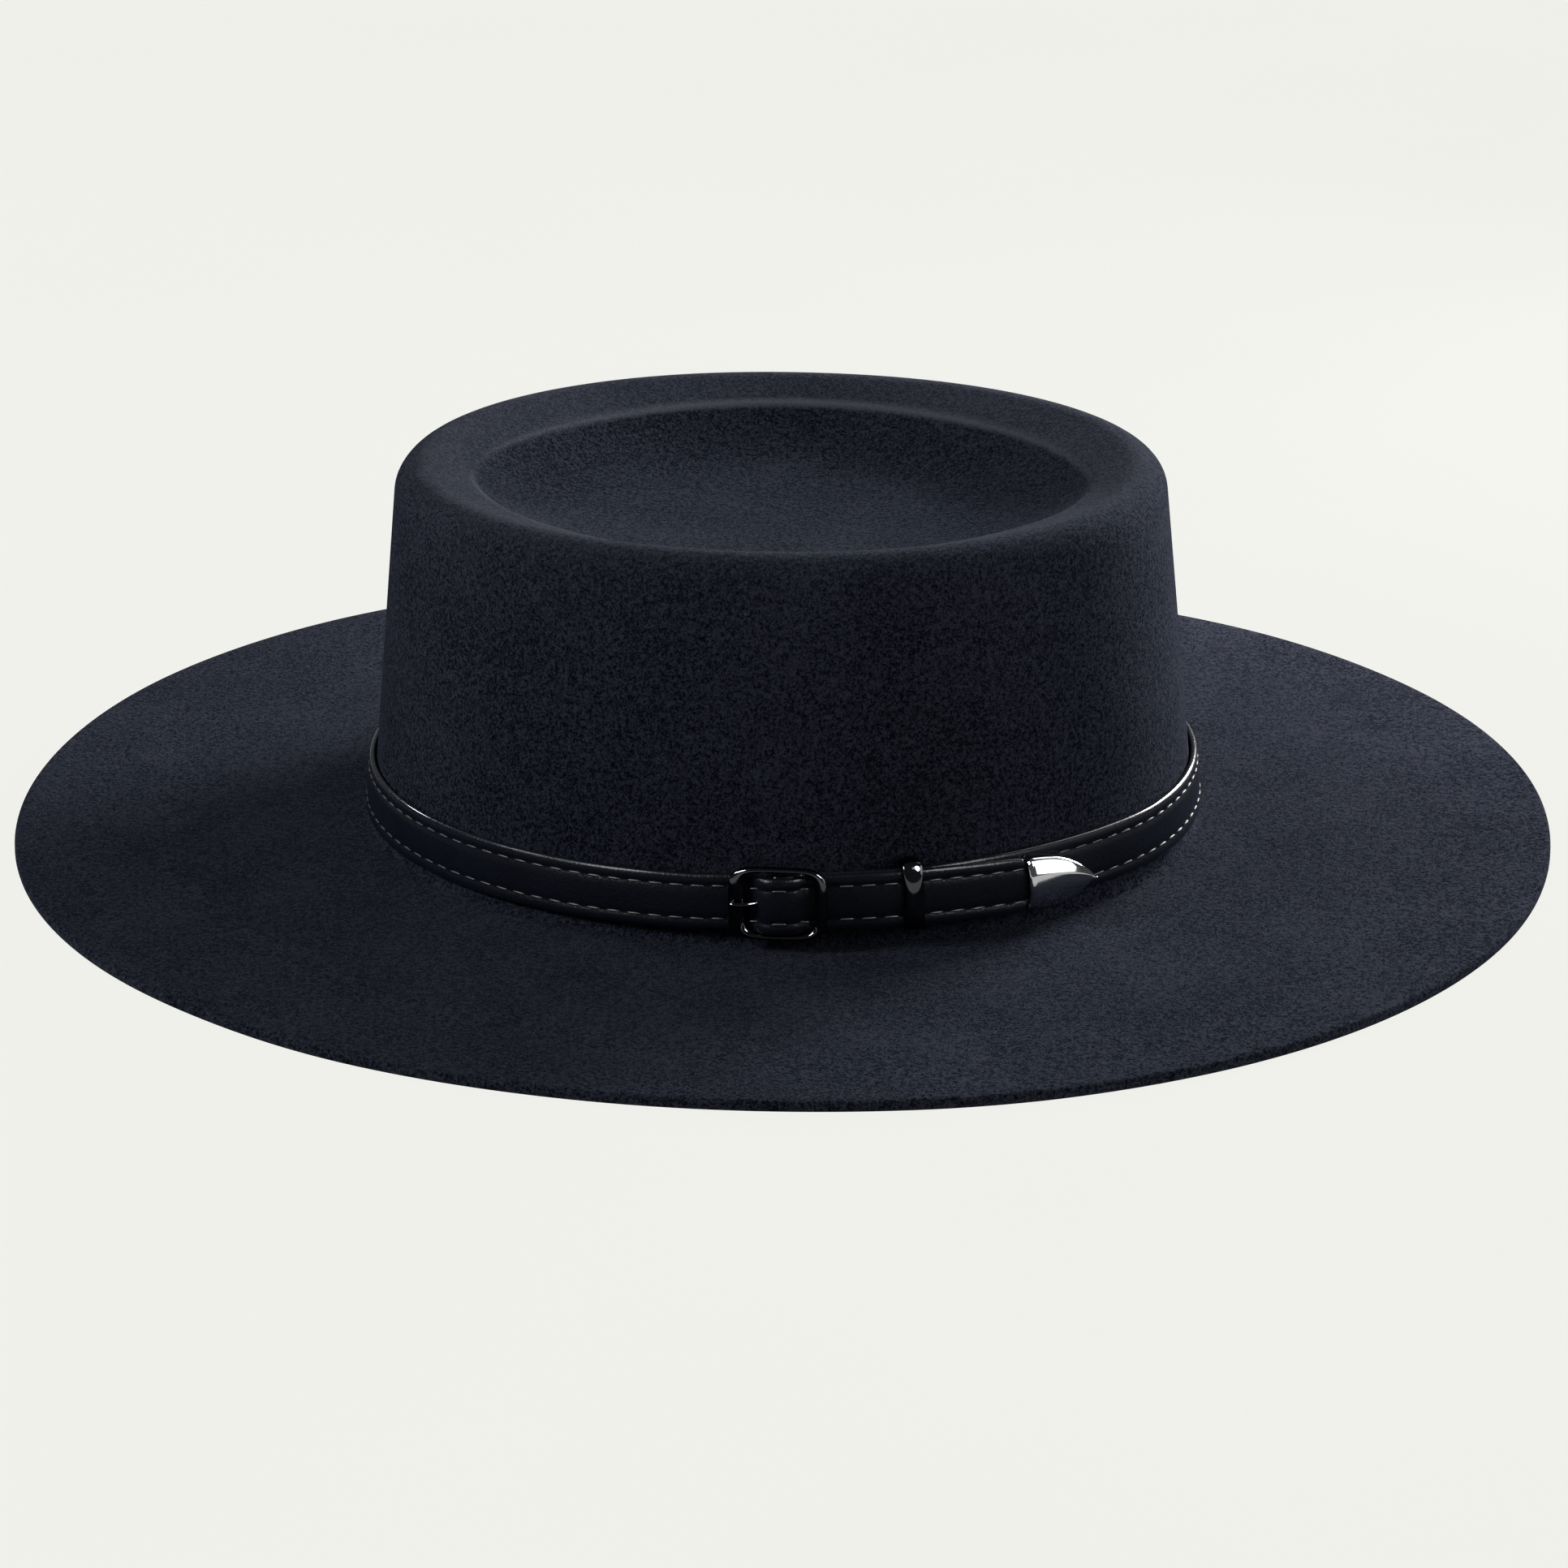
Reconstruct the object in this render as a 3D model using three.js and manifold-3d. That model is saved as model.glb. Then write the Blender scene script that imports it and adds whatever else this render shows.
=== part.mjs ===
// A gaucho hat in black felt: a flat wide brim, a telescope crown with a sunken oval top,
// and a narrow leather strap with a small buckle, a keeper loop and a pointed metal tip.
// Millimetres. +Z is up, the brim rests on Z = 0, and the origin is under the crown's middle.
// X runs from the wearer's front (-X) to the back (+X). The buckle is on the wearer's left, at -Y.

import * as THREE from 'three';
import { mergeVertices } from 'three/addons/utils/BufferGeometryUtils.js';
import Module from 'manifold-3d';

const wasm = await Module();
wasm.setup();

const { lerp, degToRad, smoothstep, euclideanModulo } = THREE.MathUtils;

// Felt body, brim first
const FELT = 2.6;
const CROWN_HALF_LENGTH = 102;
const CROWN_HALF_WIDTH = 89.2;
const BRIM_WIDTH = 86.8;
const BRIM_EDGE_RISE = 0.7;
const BRIM_FRONT_RISE = 1.7;
const FLAT_BRIM = 0.45;
const CROWN_OVAL = 2.03;
const BRIM_OVAL = 2.08;
const TOP_OVAL = 2.09;
const CROWN_HEIGHT = 92.6;
const WALL_LEAN = 0.101;
const BREAK_RADIUS = 2;
const SHOULDER_RADIUS = 7;
const STRAIGHT_WALL = 0.23;

// Crease in the crown's top. Side is at the wearer's left and right, end is at front and back.
const RIM_SLOPE = degToRad(25);
const RIDGE_INSET = 26.6;
const RIDGE_OVAL = 1.84;
const RIDGE_RADIUS = { end: 9, side: 2.6 };
const CREASE_SLOPE = { end: degToRad(35), side: degToRad(43) };
const CREASE_BEND = { end: 52, side: 38 };
const FLOOR_SLOPE = degToRad(5);
const CREASE_DEPTH = 18;
const FLOOR_SAG = 2;

// Strap: its middle height at the crown's side, and its rise towards the back
const STRAP_WIDTH = 13.4;
const STRAP_THICKNESS = 1.6;
const STRAP_EDGE = 0.35;
const STRAP_MIDDLE = 12.85;
const STRAP_TILT = 0.01;
const SKIVED_THICKNESS = 0.8;
const STRAP_END_WIDTH = 10.6;
const GAP = 0.3;
const BASE_OUT = GAP + 0.15 + STRAP_THICKNESS / 2;

// Places along the strap, measured round the crown from the middle of its left side
const BUCKLE_ALONG = 11.1;
const KEEPER_ALONG = 41.5;
const TIP_ALONG = 68.6;

// Buckle frame with its centre bar, and the prong
const FRAME_LENGTH = 22.2;
const FRAME_HEIGHT = 17.2;
const FRAME_RAIL = 1.2;
const FRAME_LEFT_BAR = 3.75;
const FRAME_RIGHT_BAR = 2.7;
const FRAME_THICKNESS = 2;
const FRAME_BEVEL = 0.5;
const FRAME_CORNER = 5.5;
const WINDOW_CORNER = 2;
const FRAME_OUT = { left: 3.5, right: 5.5 };
const FRAME_SHIFT = 1.3;
const BAR_RADIUS = 0.7;
const BAR_OUT = 2.5;
const BAR_POST_RADIUS = 0.55;
const PRONG_RADIUS = 0.6;
const PRONG_EYE_RADIUS = 1.45;
const PRONG_EYE_WIRE = 0.5;

// Keeper loop: its hollow's middle and half sizes, and its walls
const KEEPER_WIDTH = 4.4;
const KEEPER_HOLLOW = { out: 3.05, halfOut: 2.15, shift: 1.35, halfUp: 7.5 };
const KEEPER_WALL = { front: 1.25, back: 0.6, top: 1.2, bottom: 0.6 };
const KEEPER_CORNER = 10;
const KEEPER_LEAN = 0.02;

// Tip
const TIP_LENGTH = 18.9;
const TIP_HALF_HEIGHT = 6.6;
const TIP_DROP = 2.4;
const TIP_BACK = 1.7;
const TIP_FRONT = 2.8;
const TIP_OUT = 4.0;
const TIP_SHIFT = 0.15;
const POCKET_DEPTH = 4.5;
const POCKET_HALF_OUT = 1.15;

const AROUND = 72;

// A point of an oval with softened or squared quarters: a power of 2 is an ellipse.
function ovalPoint(halfLength, halfWidth, power, angle) {
  const across = Math.cos(angle);
  const along = Math.sin(angle);
  return new THREE.Vector2(
    halfLength * Math.sign(across) * Math.abs(across) ** (2 / power),
    halfWidth * Math.sign(along) * Math.abs(along) ** (2 / power),
  );
}

// The whole numbers from 0 to count, each as a share from 0 to 1.
function shares(count) {
  return Array.from({ length: count + 1 }, (unused, index) => index / count);
}

function signedVolume(positions, faces) {
  let total = 0;
  for (const [a, b, c] of faces) {
    total += positions[a].dot(new THREE.Vector3().crossVectors(positions[b], positions[c]));
  }
  return total / 6;
}

// One closed body from its corner points and triangles, with its faces pointing out.
function closedGeometry(positions, faces) {
  const outward = signedVolume(positions, faces) > 0;
  const geometry = new THREE.BufferGeometry().setFromPoints(positions);
  geometry.setIndex(faces.flatMap(([a, b, c]) => (outward ? [a, b, c] : [a, c, b])));
  geometry.computeVertexNormals();
  return geometry;
}

function facesBetween(first, second, count) {
  const faces = [];
  for (let step = 0; step < count; step += 1) {
    const next = (step + 1) % count;
    faces.push([first + step, second + step, second + next]);
    faces.push([first + step, second + next, first + next]);
  }
  return faces;
}

function middleOf(ring) {
  const sum = ring.reduce((total, point) => total.add(point), new THREE.Vector3());
  return sum.divideScalar(ring.length);
}

// A body through a row of rings, closed at both ends by fans round a point.
function loft(rings, firstPole = middleOf(rings[0]), lastPole = middleOf(rings.at(-1))) {
  const count = rings[0].length;
  const positions = [...rings.flat(), firstPole, lastPole];
  const faces = [];
  for (let index = 0; index + 1 < rings.length; index += 1) {
    faces.push(...facesBetween(index * count, (index + 1) * count, count));
  }
  const firstIndex = rings.length * count;
  const lastStart = (rings.length - 1) * count;
  for (let step = 0; step < count; step += 1) {
    const next = (step + 1) % count;
    faces.push([firstIndex, step, next]);
    faces.push([firstIndex + 1, lastStart + next, lastStart + step]);
  }
  return closedGeometry(positions, faces);
}

// A body through a row of rings that comes back to its first ring.
function loopLoft(rings) {
  const count = rings[0].length;
  const faces = [];
  rings.forEach((ring, index) => {
    const next = (index + 1) % rings.length;
    faces.push(...facesBetween(index * count, next * count, count));
  });
  return closedGeometry(rings.flat(), faces);
}

function toSolid(geometry) {
  const bare = geometry.clone();
  bare.deleteAttribute('normal');
  bare.deleteAttribute('uv');
  const merged = mergeVertices(bare, 1e-4);
  return new wasm.Manifold(new wasm.Mesh({
    numProp: 3,
    vertProperties: new Float32Array(merged.attributes.position.array),
    triVerts: new Uint32Array(merged.index.array),
  }));
}

function toGeometry(solid) {
  const mesh = solid.getMesh();
  const geometry = new THREE.BufferGeometry();
  geometry.setAttribute('position', new THREE.BufferAttribute(new Float32Array(mesh.vertProperties), 3));
  geometry.setIndex(new THREE.BufferAttribute(new Uint32Array(mesh.triVerts), 1));
  geometry.computeVertexNormals();
  return geometry;
}

// Felt body

// The felt's top skin in one direction, from the brim's edge to the edge of the crease's floor.
// Inset is measured from the foot of the crown's wall, height from the brim's top.
function feltSection(side) {
  const section = [];
  for (const share of [1, 0.75, FLAT_BRIM, 0.18]) {
    const power = lerp(CROWN_OVAL, BRIM_OVAL, share);
    section.push({ inset: -BRIM_WIDTH * share, height: 0, power, brim: share });
  }

  const wallTilt = Math.atan(WALL_LEAN);
  const breakInset = WALL_LEAN * BREAK_RADIUS - BREAK_RADIUS / Math.cos(wallTilt);
  for (const share of shares(3)) {
    const turn = share * (Math.PI / 2 - wallTilt);
    const inset = breakInset + BREAK_RADIUS * Math.sin(turn);
    const height = BREAK_RADIUS * (1 - Math.cos(turn));
    section.push({ inset, height, power: CROWN_OVAL, brim: 0 });
  }

  const top = CROWN_HEIGHT - FELT;
  const shoulderHeight = top - SHOULDER_RADIUS;
  const shoulderInset = SHOULDER_RADIUS * Math.cos(wallTilt)
    + WALL_LEAN * (shoulderHeight + SHOULDER_RADIUS * Math.sin(wallTilt));
  for (const share of [STRAIGHT_WALL, 0.62]) {
    const height = share * shoulderHeight;
    const power = lerp(CROWN_OVAL, TOP_OVAL, (share - STRAIGHT_WALL) / (1 - STRAIGHT_WALL));
    section.push({ inset: WALL_LEAN * height, height, power, brim: 0 });
  }
  for (const share of shares(5)) {
    const turn = lerp(wallTilt, Math.PI / 2 + RIM_SLOPE, share);
    const inset = shoulderInset - SHOULDER_RADIUS * Math.cos(turn);
    const height = shoulderHeight + SHOULDER_RADIUS * Math.sin(turn);
    section.push({ inset, height, power: TOP_OVAL, brim: 0 });
  }

  const ridgeRadius = lerp(RIDGE_RADIUS.end, RIDGE_RADIUS.side, side);
  const creaseSlope = lerp(CREASE_SLOPE.end, CREASE_SLOPE.side, side);
  const creaseBend = lerp(CREASE_BEND.end, CREASE_BEND.side, side);
  const rimEnd = section.at(-1);
  const ridgeStart = RIDGE_INSET - ridgeRadius * (creaseSlope - RIM_SLOPE) / 2;
  const ridgeHeight = rimEnd.height - (ridgeStart - rimEnd.inset) * Math.tan(RIM_SLOPE);
  for (const share of shares(2)) {
    const slope = lerp(RIM_SLOPE, creaseSlope, share);
    const inset = ridgeStart + ridgeRadius * (Math.sin(slope) - Math.sin(RIM_SLOPE));
    const height = ridgeHeight - ridgeRadius * (Math.cos(RIM_SLOPE) - Math.cos(slope));
    section.push({ inset, height, power: RIDGE_OVAL, brim: 0 });
  }

  const ridgeEnd = section.at(-1);
  const floorHeight = top - CREASE_DEPTH + FLOOR_SAG;
  const bendDrop = creaseBend * (Math.cos(FLOOR_SLOPE) - Math.cos(creaseSlope));
  const bendHeight = floorHeight + bendDrop;
  const bendInset = ridgeEnd.inset + (ridgeEnd.height - bendHeight) / Math.tan(creaseSlope);
  for (const share of shares(3)) {
    const slope = lerp(creaseSlope, FLOOR_SLOPE, share);
    const inset = bendInset + creaseBend * (Math.sin(creaseSlope) - Math.sin(slope));
    const height = bendHeight - creaseBend * (Math.cos(slope) - Math.cos(creaseSlope));
    section.push({ inset, height, power: RIDGE_OVAL, brim: 0 });
  }
  return section;
}

function feltTopRings() {
  const directions = Array.from({ length: AROUND }, (unused, index) => {
    const angle = (index / AROUND) * 2 * Math.PI;
    return { angle, section: feltSection(Math.sin(angle) ** 2) };
  });
  const rings = directions[0].section.map((unused, station) => directions.map(({ angle, section }) => {
    const { inset, height, power, brim } = section[station];
    const flat = ovalPoint(CROWN_HALF_LENGTH - inset, CROWN_HALF_WIDTH - inset, power, angle);
    const edgeRise = BRIM_EDGE_RISE - BRIM_FRONT_RISE * Math.cos(angle);
    const rise = Math.max(edgeRise, 0) * smoothstep(brim, FLAT_BRIM, 1.2);
    return new THREE.Vector3(flat.x, flat.y, FELT + height + rise);
  }));
  const floorEdge = rings.at(-1);
  const floorMiddle = CROWN_HEIGHT - CREASE_DEPTH;
  for (const share of [0.35, 0.7]) {
    rings.push(floorEdge.map((point) => new THREE.Vector3(
      point.x * (1 - share),
      point.y * (1 - share),
      lerp(floorMiddle, point.z, (1 - share) ** 2),
    )));
  }
  return rings;
}

// The skin below, one felt thickness away from the top skin.
function feltUnderRings(rings, pole) {
  return rings.map((ring, station) => ring.map((point, step) => {
    const outer = station > 0 ? rings[station - 1][step] : point;
    const inner = station + 1 < rings.length ? rings[station + 1][step] : pole;
    const before = ring[(step + AROUND - 1) % AROUND];
    const after = ring[(step + 1) % AROUND];
    const inward = new THREE.Vector3().subVectors(inner, outer);
    const around = new THREE.Vector3().subVectors(after, before);
    const normal = new THREE.Vector3().crossVectors(around, inward).normalize();
    return point.clone().addScaledVector(normal, -FELT);
  }));
}

function feltBody() {
  const topRings = feltTopRings();
  const topPole = new THREE.Vector3(0, 0, CROWN_HEIGHT - CREASE_DEPTH);
  const underPole = new THREE.Vector3(0, 0, topPole.z - FELT);
  const underRings = feltUnderRings(topRings, topPole);
  return loft([...topRings.reverse(), ...underRings], topPole, underPole);
}

// Places on the crown's wall

class OvalCurve extends THREE.Curve {
  constructor(halfLength, halfWidth, power) {
    super();
    this.halfLength = halfLength;
    this.halfWidth = halfWidth;
    this.power = power;
    this.arcLengthDivisions = 1440;
  }

  getPoint(share) {
    const angle = share * 2 * Math.PI - Math.PI / 2;
    const flat = ovalPoint(this.halfLength, this.halfWidth, this.power, angle);
    return new THREE.Vector3(flat.x, flat.y, 0);
  }
}

const strapInset = WALL_LEAN * (STRAP_MIDDLE - FELT);
const wall = new OvalCurve(CROWN_HALF_LENGTH - strapInset, CROWN_HALF_WIDTH - strapInset, CROWN_OVAL);
const wallLength = wall.getLength();

// A point at a place along the strap, a distance out from the felt and a height over the strap's middle.
function onWall(along, out, up) {
  const share = euclideanModulo(along / wallLength, 1);
  const foot = wall.getPointAt(share);
  const tangent = wall.getTangentAt(share);
  const reach = out - WALL_LEAN * up;
  return new THREE.Vector3(
    foot.x + tangent.y * reach,
    foot.y - tangent.x * reach,
    STRAP_MIDDLE + up + STRAP_TILT * foot.x,
  );
}

// A geometry whose X, Y and Z are along, up and out takes its place on the wall.
function wrapOnWall(geometry) {
  const { position } = geometry.attributes;
  for (let index = 0; index < position.count; index += 1) {
    const placed = onWall(position.getX(index), position.getZ(index), position.getY(index));
    position.setXYZ(index, placed.x, placed.y, placed.z);
  }
  geometry.computeVertexNormals();
  return geometry;
}

// Strap

// From inside the tip, under the frame's right bar, over the centre bar and under the left bar.
const FREE_END = [
  { along: 72.5, out: 4.0, shift: 0.15, width: STRAP_END_WIDTH },
  { along: 70.4, out: 4.0, shift: 0.15, width: STRAP_END_WIDTH },
  { along: 68.25, out: 4.0, shift: 0.15, width: STRAP_END_WIDTH },
  { along: 68.05, out: 4.0, shift: 0.15, width: STRAP_WIDTH },
  { along: 58, out: 3.6, shift: 0.5, width: STRAP_WIDTH },
  { along: 48, out: 3.9, shift: 1.0, width: STRAP_WIDTH },
  { along: 41.5, out: 4.0, shift: 1.1, width: STRAP_WIDTH },
  { along: 35.5, out: 3.9, shift: 1.05, width: STRAP_WIDTH },
  { along: 27.8, out: 3.2, shift: 0.9, width: STRAP_WIDTH },
  { along: 19.4, out: 3.05, shift: 0.85, width: STRAP_WIDTH },
  { along: 17.6, out: 3.35, shift: 0.85, width: STRAP_WIDTH },
  { along: 14.85, out: 5.05, shift: 0.85, width: STRAP_WIDTH },
  { along: 11.1, out: 5.6, shift: 0.85, width: STRAP_WIDTH },
  { along: 8.45, out: 5.1, shift: 0.85, width: STRAP_WIDTH },
  { along: 6.65, out: 3.5, shift: 0.75, width: STRAP_WIDTH },
  { along: 5.05, out: 1.9, shift: 0.65, width: STRAP_WIDTH },
  { along: 3.05, out: 1.35, shift: 0.5, width: STRAP_WIDTH },
  { along: -0.2, out: BASE_OUT, shift: 0.3, width: STRAP_WIDTH },
  { along: -8, out: BASE_OUT, shift: 0, width: STRAP_WIDTH },
];

// Behind the free end: through the keeper loop, then folded round the centre bar.
const FOLDED_END = [
  { along: 112, out: BASE_OUT, shift: 0, thickness: STRAP_THICKNESS },
  { along: 94, out: BASE_OUT, shift: 0.6, thickness: STRAP_THICKNESS },
  { along: 80, out: BASE_OUT, shift: 0.8, thickness: STRAP_THICKNESS },
  { along: 62, out: BASE_OUT, shift: 0.8, thickness: STRAP_THICKNESS },
  { along: 53, out: 1.35, shift: 0.8, thickness: STRAP_THICKNESS },
  { along: 47.5, out: 1.95, shift: 0.85, thickness: STRAP_THICKNESS },
  { along: 41.5, out: 2.1, shift: 0.9, thickness: STRAP_THICKNESS },
  { along: 35.5, out: 1.95, shift: 0.9, thickness: STRAP_THICKNESS },
  { along: 30.8, out: 1.35, shift: 0.85, thickness: STRAP_THICKNESS },
  { along: 24.8, out: BASE_OUT, shift: 0.85, thickness: STRAP_THICKNESS },
  { along: 20.45, out: BASE_OUT, shift: 0.85, thickness: STRAP_THICKNESS },
  { along: 18.25, out: 1.4, shift: 0.85, thickness: 1.4 },
  { along: 16.05, out: 2.2, shift: 0.85, thickness: 1.1 },
  { along: 13.65, out: 3.55, shift: 0.85, thickness: SKIVED_THICKNESS },
  { along: 11.1, out: 3.85, shift: 0.85, thickness: SKIVED_THICKNESS },
  { along: 10.15, out: 3.45, shift: 0.85, thickness: SKIVED_THICKNESS },
  { along: 9.75, out: 2.5, shift: 0.85, thickness: SKIVED_THICKNESS },
  { along: 10.15, out: 1.55, shift: 0.85, thickness: SKIVED_THICKNESS },
  { along: 11.1, out: 1.15, shift: 0.85, thickness: SKIVED_THICKNESS },
  { along: 13.45, out: 1.1, shift: 0.85, thickness: SKIVED_THICKNESS },
];

// Points of a smooth path through a table's rows, with the table's other columns carried along.
function smoothPath(rows, stepsPerRow, column, turns = 0) {
  const curve = new THREE.CatmullRomCurve3(rows.map((row) => new THREE.Vector3(row.along, row.out, row.shift ?? 0)));
  return shares((rows.length - 1) * stepsPerRow).map((share) => {
    const place = curve.getPoint(share);
    const position = share * (rows.length - 1);
    const row = Math.min(Math.floor(position), rows.length - 2);
    const value = lerp(rows[row][column], rows[row + 1][column], position - row);
    return { along: place.x + turns * wallLength, out: place.y, shift: place.z, [column]: value };
  });
}

function strapPath() {
  const free = smoothPath(FREE_END, 2, 'width');
  const folded = smoothPath(FOLDED_END, 2, 'thickness', -1);
  const start = free.at(-1).along;
  const finish = folded[0].along;
  const round = shares(56).slice(1, -1).map((share) => ({
    along: lerp(start, finish, share),
    out: BASE_OUT,
    shift: 0,
  }));
  return [...free, ...round, ...folded];
}

function strapRing(path, index) {
  const { along, out, shift, width = STRAP_WIDTH, thickness = STRAP_THICKNESS } = path[index];
  const before = path[Math.max(index - 1, 0)];
  const after = path[Math.min(index + 1, path.length - 1)];
  const heading = new THREE.Vector2(before.along - after.along, before.out - after.out).normalize();
  const halfWidth = width / 2;
  const halfThickness = thickness / 2;
  const edge = Math.min(STRAP_EDGE, halfThickness / 2);
  const corners = [
    [halfThickness, halfWidth - edge],
    [halfThickness, edge - halfWidth],
    [halfThickness - edge, -halfWidth],
    [edge - halfThickness, -halfWidth],
    [-halfThickness, edge - halfWidth],
    [-halfThickness, halfWidth - edge],
    [edge - halfThickness, halfWidth],
    [halfThickness - edge, halfWidth],
  ];
  return corners.map(([deep, up]) => onWall(
    along - heading.y * deep,
    out + heading.x * deep,
    shift + up,
  ));
}

function boxOnWall(along, out, halfUp) {
  const [low, high] = along;
  const [near, far] = out;
  const box = new THREE.BoxGeometry(high - low, 2 * halfUp, far - near);
  box.translate((low + high) / 2, FRAME_SHIFT, (near + far) / 2);
  return wrapOnWall(box);
}

function strap() {
  const path = strapPath();
  const band = toSolid(loft(path.map((unused, index) => strapRing(path, index))));
  const prongHole = toSolid(boxOnWall([5.55, 8.85], [1.8, 7], PRONG_RADIUS + 2 * GAP));
  const eyeSlot = toSolid(boxOnWall([8.75, 13.75], [0.2, 4.62], PRONG_EYE_WIRE + GAP));
  return toGeometry(band.subtract(prongHole).subtract(eyeSlot));
}

// Buckle

function ovalOutline(halfLength, halfWidth, power, count) {
  const points = shares(count).slice(0, -1);
  return new THREE.Shape(points.map((share) => ovalPoint(halfLength, halfWidth, power, share * 2 * Math.PI)));
}

function roundedWindow(middle, halfLength, halfWidth, radius) {
  const window = new THREE.Path();
  const corners = [[1, 1], [-1, 1], [-1, -1], [1, -1]];
  corners.forEach(([across, along], quarter) => {
    const x = middle + across * (halfLength - radius);
    const y = along * (halfWidth - radius);
    const start = quarter * Math.PI / 2;
    window.absarc(x, y, radius, start, start + Math.PI / 2);
  });
  window.closePath();
  return window;
}

function frameOut(along) {
  const share = (along - BUCKLE_ALONG) / FRAME_LENGTH + 0.5;
  return lerp(FRAME_OUT.left, FRAME_OUT.right, share);
}

function buckleFrame() {
  const halfLength = FRAME_LENGTH / 2;
  const halfHeight = FRAME_HEIGHT / 2;
  const outline = ovalOutline(halfLength - FRAME_BEVEL, halfHeight - FRAME_BEVEL, FRAME_CORNER, 40);
  const windowHalf = (FRAME_LENGTH - FRAME_LEFT_BAR - FRAME_RIGHT_BAR) / 2;
  const windowMiddle = (FRAME_LEFT_BAR - FRAME_RIGHT_BAR) / 2;
  outline.holes.push(roundedWindow(
    windowMiddle,
    windowHalf + FRAME_BEVEL,
    halfHeight - FRAME_RAIL + FRAME_BEVEL,
    WINDOW_CORNER + FRAME_BEVEL,
  ));
  const plate = new THREE.ExtrudeGeometry(outline, {
    depth: FRAME_THICKNESS - 2 * FRAME_BEVEL,
    bevelThickness: FRAME_BEVEL,
    bevelSize: FRAME_BEVEL,
    bevelSegments: 2,
    curveSegments: 4,
  });
  plate.translate(0, 0, -FRAME_THICKNESS / 2 + FRAME_BEVEL);
  const { position } = plate.attributes;
  for (let index = 0; index < position.count; index += 1) {
    const along = BUCKLE_ALONG + position.getX(index);
    position.setX(index, along);
    position.setZ(index, frameOut(along) + position.getZ(index));
  }

  const railMiddle = FRAME_HEIGHT / 2 - FRAME_RAIL / 2;
  const bar = new THREE.CylinderGeometry(BAR_RADIUS, BAR_RADIUS, 2 * railMiddle, 10);
  bar.translate(BUCKLE_ALONG, 0, BAR_OUT);
  let solid = toSolid(plate).add(toSolid(bar));
  const postTop = frameOut(BUCKLE_ALONG);
  const postFoot = BAR_OUT - BAR_RADIUS;
  for (const end of [-1, 1]) {
    const post = new THREE.CylinderGeometry(BAR_POST_RADIUS, BAR_POST_RADIUS, postTop - postFoot, 8);
    post.rotateX(Math.PI / 2);
    post.translate(BUCKLE_ALONG, end * railMiddle, (postTop + postFoot) / 2);
    solid = solid.add(toSolid(post));
  }
  return wrapOnWall(toGeometry(solid).translate(0, FRAME_SHIFT, 0));
}

// The prong lies behind the strap's free end, comes up through its hole and rests on the left bar.
const PRONG_ROUTE = [
  { along: 9.95, out: 3.3, radius: PRONG_RADIUS },
  { along: 8.45, out: 3.25, radius: PRONG_RADIUS },
  { along: 7.05, out: 3.75, radius: PRONG_RADIUS },
  { along: 5.55, out: 4.75, radius: PRONG_RADIUS },
  { along: 3.85, out: 5.5, radius: PRONG_RADIUS },
  { along: 2.05, out: 5.5, radius: PRONG_RADIUS },
  { along: 0.7, out: 5.3, radius: 0.5 * PRONG_RADIUS },
];

function bucklePin() {
  const curve = new THREE.CatmullRomCurve3(PRONG_ROUTE.map((row) => new THREE.Vector3(row.along, 0, row.out)));
  const steps = 12;
  const rings = shares(steps).map((share) => {
    const place = curve.getPoint(share);
    const tangent = curve.getTangent(share);
    const position = share * (PRONG_ROUTE.length - 1);
    const row = Math.min(Math.floor(position), PRONG_ROUTE.length - 2);
    const radius = lerp(PRONG_ROUTE[row].radius, PRONG_ROUTE[row + 1].radius, position - row);
    return shares(8).slice(0, -1).map((turn) => {
      const sideways = radius * Math.cos(turn * 2 * Math.PI);
      const deep = radius * Math.sin(turn * 2 * Math.PI);
      return new THREE.Vector3(place.x - tangent.z * deep, sideways, place.z + tangent.x * deep);
    });
  });
  const eye = new THREE.TorusGeometry(PRONG_EYE_RADIUS, PRONG_EYE_WIRE, 8, 16);
  eye.rotateX(Math.PI / 2);
  eye.translate(BUCKLE_ALONG, 0, BAR_OUT);
  const solid = toSolid(loft(rings)).add(toSolid(eye));
  return wrapOnWall(toGeometry(solid).translate(0, FRAME_SHIFT, 0));
}

// Keeper loop: a domed band that goes round both layers of the strap.
function keeperLoop() {
  const { out, halfOut, shift, halfUp } = KEEPER_HOLLOW;
  const halfWidth = KEEPER_WIDTH / 2;
  const rings = shares(28).slice(0, -1).map((share) => {
    const angle = share * 2 * Math.PI;
    const inner = ovalPoint(halfOut, halfUp, KEEPER_CORNER, angle);
    const outOf = inner.x > 0 ? KEEPER_WALL.front : KEEPER_WALL.back;
    const upOf = inner.y > 0 ? KEEPER_WALL.top : KEEPER_WALL.bottom;
    const outer = ovalPoint(halfOut + outOf, halfUp + upOf, KEEPER_CORNER, angle);
    const section = [[-1, 0], [1, 0], [1, 0.45], [0.55, 1], [-0.55, 1], [-1, 0.45]];
    return section.map(([side, height]) => {
      const place = new THREE.Vector2().lerpVectors(inner, outer, height);
      const along = KEEPER_ALONG + side * halfWidth - KEEPER_LEAN * place.y;
      return onWall(along, out + place.x, shift + place.y);
    });
  });
  return loopLoft(rings);
}

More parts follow.
